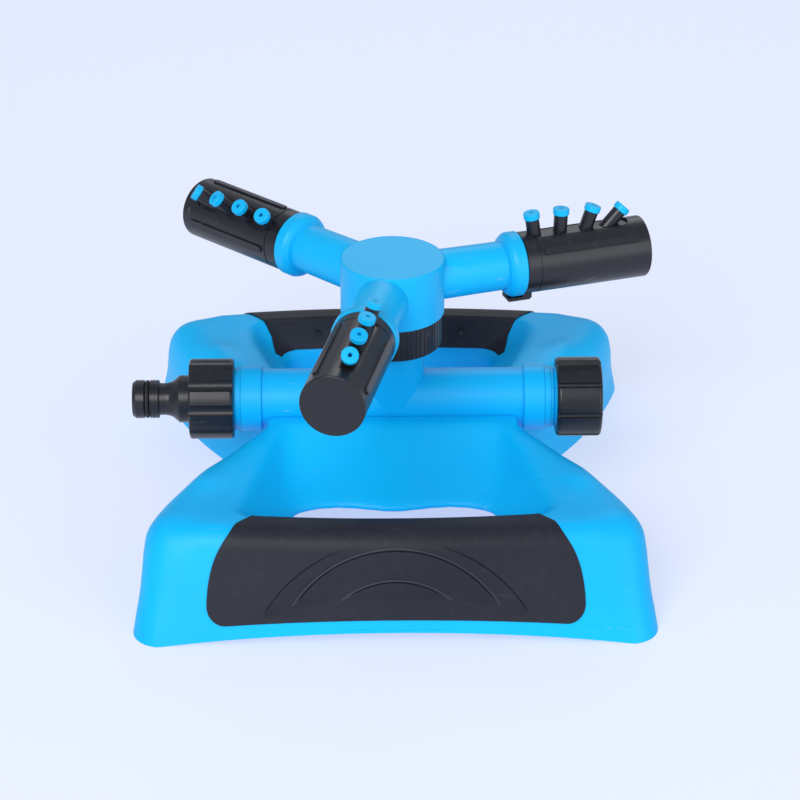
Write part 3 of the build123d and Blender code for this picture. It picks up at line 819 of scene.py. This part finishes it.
@dataclass
class GripArches:
    """Three nested arch ridges on the outer face of one grip.

    Attributes:
        workshop: Where the material comes from.
        node: The grip that carries them.
        side: -1 at the front and 1 at the rear.
        width: Width of a ridge.
        proud: Thickness of a ridge, half of it sunk in the grip.
    """

    workshop: Workshop
    node: str
    side: float
    width: float = 0.55 * MM
    proud: float = 0.6 * MM

    def ridge(self, number: int, radius: float, crown: float, foot: float, gap: float) -> bpy.types.Object:
        """Draws one arch as a band, lays it on the grip and gives it its thickness.

        Args:
            number: The arch's number, from the outside in.
            radius: Radius of its inner edge.
            crown: Height of its top.
            foot: Height of its two ends.
            gap: Half width over which its crown dies away, or 0.

        Returns:
            The ridge.
        """
        deselect()
        ahead = self.side * 150 * MM
        bpy.ops.mesh.primitive_circle_add(vertices=360, radius=radius, rotation=(math.pi / 2, 0.0, 0.0))
        band = bpy.context.active_object
        band.name = f"{self.node}_arch_{number}"
        wide = (radius + self.width) / radius
        cut = foot - (crown - radius)

        def fullness(place: Vector) -> float:
            """Returns how thick the ridge is at a place, from nothing to full."""
            flank = ramp(abs(place.x), RIDGE_GONE * gap, gap) if gap else 1.0
            return flank * ramp(place.z, foot, foot + 7 * MM)

        bpy.ops.object.mode_set(mode="EDIT")
        bpy.ops.mesh.select_all(action="SELECT")
        bpy.ops.mesh.bisect(plane_co=(0.0, 0.0, cut), plane_no=(0.0, 0.0, 1.0), clear_inner=True)
        bpy.ops.mesh.select_all(action="SELECT")
        bpy.ops.mesh.extrude_region_move()
        bpy.ops.transform.resize(value=(wide, 1.0, wide), center_override=(0.0, 0.0, 0.0))
        bpy.ops.mesh.select_all(action="SELECT")
        bpy.ops.transform.translate(value=(0.0, ahead, crown - radius))
        bpy.ops.object.mode_set(mode="OBJECT")
        settle(band)
        lay = band.modifiers.new("lay", "SHRINKWRAP")
        lay.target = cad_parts[self.node]
        lay.wrap_method = "PROJECT"
        lay.use_project_y = True
        lay.use_positive_direction = self.side < 0
        lay.use_negative_direction = self.side > 0
        settle(band)
        if gap:
            for face in band.data.polygons:
                face.select = abs(face.center.x) < RIDGE_GONE * gap
            bpy.ops.object.mode_set(mode="EDIT")
            bpy.ops.mesh.delete(type="FACE")
            bpy.ops.object.mode_set(mode="OBJECT")
        body = band.modifiers.new("body", "SOLIDIFY")
        body.thickness = self.proud
        body.offset = 0.0
        body.vertex_group = weigh(band, "taper", fullness)
        body.thickness_vertex_group = 0.05
        edge = band.modifiers.new("edge", "BEVEL")
        edge.width = 0.18 * MM
        edge.segments = 2
        settle(band)
        band.vertex_groups.clear()
        face_outwards(band)
        soften(band, 50.0)
        return band

    def build(self) -> None:
        """Builds the arches, joins them and dresses them."""
        ridges = [self.ridge(number, *arch) for number, arch in enumerate(ARCHES, 1)]
        take(ridges[0])
        for piece in ridges[1:]:
            piece.select_set(True)
        bpy.ops.object.join()
        ridges[0].name = f"{self.node}_arches"
        dress(ridges[0], self.workshop.for_slot(RIDGE_FINISH), "stand")


# ---------------------------------------------------------------- stage


@dataclass
class Studio:
    """The pale floor, the soft lights and the camera.

    Attributes:
        elevation: Camera height angle, in degrees.
        turn: How far the camera stands to the side, in degrees.
        distance: Camera distance from its aim, in metres.
        aim: The point that the camera looks at.
        lens: Focal length, in millimetres on a 36 mm sensor.
    """

    elevation: float = 28.4
    turn: float = -0.8
    distance: float = 1.15
    aim: tuple[float, float, float] = (0.0, 0.0, 0.05)
    lens: float = 123.3

    def set_camera(self) -> None:
        """Adds the camera and makes it the scene's."""
        up, side = math.radians(self.elevation), math.radians(self.turn)
        back = Vector((math.sin(side) * math.cos(up), -math.cos(side) * math.cos(up), math.sin(up)))
        data = bpy.data.cameras.new("camera")
        data.lens = self.lens
        data.sensor_width = 36.0
        data.shift_x = 0.0095
        data.shift_y = -0.00325
        data.clip_end = 50.0
        camera = bpy.data.objects.new("camera", data)
        camera.location = Vector(self.aim) + back * self.distance
        camera.rotation_euler = back.to_track_quat("Z", "Y").to_euler()
        bpy.context.scene.collection.objects.link(camera)
        bpy.context.scene.camera = camera
        LOG.info("camera set")

    def lay_floor(self) -> None:
        """Lays the plain pale floor."""
        deselect()
        bpy.ops.mesh.primitive_plane_add(size=24.0, location=(0.0, 0.0, 0.0))
        floor = bpy.context.active_object
        floor.name = "floor"
        material = bpy.data.materials.new("floor_paper")
        material.use_nodes = True
        shader = material.node_tree.nodes["Principled BSDF"]
        shader.inputs["Base Color"].default_value = (0.36, 0.385, 0.45, 1.0)
        shader.inputs["Roughness"].default_value = 1.0
        shader.inputs["Specular IOR Level"].default_value = 0.0
        shader.inputs["Emission Color"].default_value = (0.80, 0.85, 1.0, 1.0)
        shader.inputs["Emission Strength"].default_value = 0.62
        floor.data.materials.append(material)
        LOG.info("floor laid")

    def lamp(self, name: str, place: Vector, size: float, power: float) -> None:
        """Adds a soft square lamp that faces the object.

        Args:
            name: The lamp's name.
            place: Where it hangs.
            size: Its side, in metres.
            power: Its power, in watts.
        """
        data = bpy.data.lights.new(name, "AREA")
        data.size = size
        data.energy = power
        lamp = bpy.data.objects.new(name, data)
        lamp.location = place
        lamp.rotation_euler = (place - Vector(self.aim)).to_track_quat("Z", "Y").to_euler()
        bpy.context.scene.collection.objects.link(lamp)

    def light(self) -> None:
        """Hangs the lamps and sets the pale surroundings."""
        self.lamp("key", Vector((-0.8, -1.9, 1.5)), size=1.3, power=40.0)
        self.lamp("fill", Vector((1.5, -1.5, 0.8)), size=1.5, power=14.0)
        self.lamp("rim", Vector((0.3, 1.6, 1.2)), size=1.0, power=5.0)
        world = bpy.data.worlds.new("surroundings")
        world.use_nodes = True
        back = world.node_tree.nodes["Background"]
        back.inputs[0].default_value = (0.81, 0.86, 1.0, 1.0)
        back.inputs[1].default_value = 0.48
        bpy.context.scene.world = world
        bpy.context.scene.view_settings.view_transform = "Standard"
        LOG.info("lights hung")


def main() -> None:
    """Builds and dresses every sub-assembly in order."""
    logging.basicConfig(level=logging.INFO, format="%(name)s %(message)s")
    studio = Studio()
    studio.set_camera()
    workshop = Workshop()
    CarriedParts(workshop).dress()
    BaseShell(workshop).build()
    GripArches(workshop, "front_grip", -1.0).build()
    GripArches(workshop, "rear_grip", 1.0).build()
    studio.lay_floor()
    studio.light()


if __name__ == "__main__":
    main()
